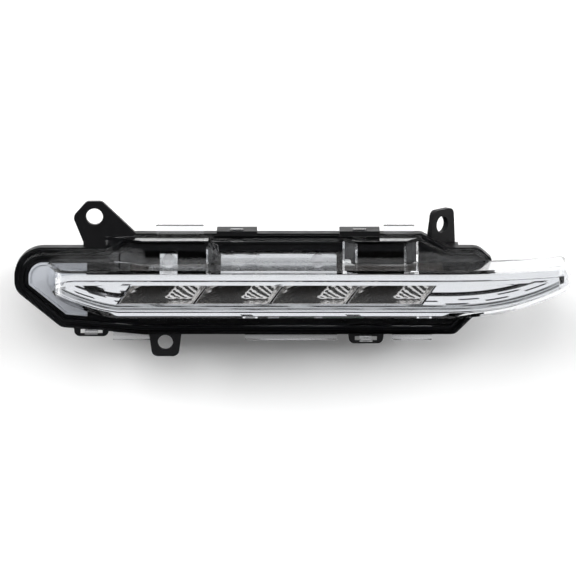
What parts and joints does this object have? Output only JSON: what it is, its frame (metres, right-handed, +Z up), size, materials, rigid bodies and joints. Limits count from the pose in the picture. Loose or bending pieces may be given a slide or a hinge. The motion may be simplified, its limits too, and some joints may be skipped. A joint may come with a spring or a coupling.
{
  "type": "auxiliary driving light",
  "caption": "Long auxiliary driving light: clear lens with a protruding bar over metallised reflector cells, black housing with mounting ears and snap loops, rear connector.",
  "frame": {"origin": "centre of the inner upper ear's hole, on the front face of the ear", "axes": "+X along the lamp to its swept outer end, -Y out of the lens, +Z up"},
  "size_m": [0.3606, 0.098, 0.1027],
  "materials": {
    "black_plastic": "satin moulded black",
    "clear_lens": "clear moulded polycarbonate",
    "seal_rubber": "soft black",
    "metallised": "mirror",
    "bezel_grey": "satin grey",
    "board": "dark solder mask",
    "led_body": "yellow phosphor under clear resin",
    "pad": "soft grey",
    "aluminium": "extruded",
    "screw_steel": "zinc plated",
    "white_plastic": "moulded white",
    "driver_green": "solder mask",
    "coil_ferrite": "ferrite",
    "can_metal": "drawn can",
    "chip_black": "epoxy",
    "lead_red": "insulated wire",
    "pin_brass": "tin flashed",
    "grey_plastic": "moulded dark grey"
  },
  "bodies": {
    "root": {"housing": "black_plastic", "outer_lens": "clear_lens", "lens_seal": "seal_rubber", "reflector": "metallised", "inner_bezel": "bezel_grey", "led_board": "board", "led_1": "led_body", "led_2": "led_body", "led_3": "led_body", "led_4": "led_body", "thermal_pad": "pad", "heat_spreader": "aluminium", "spreader_screws": "screw_steel", "reflector_screws": "screw_steel", "led_header": "white_plastic", "driver_board": "driver_green", "driver_screws": "screw_steel", "driver_coil": "coil_ferrite", "driver_capacitors": "can_metal", "driver_chip": "chip_black", "jumper_lead": "lead_red", "connector_gasket": "seal_rubber", "connector_socket": "grey_plastic", "connector_pins": "pin_brass", "vent_cap": "grey_plastic"}
  },
  "joints": []
}
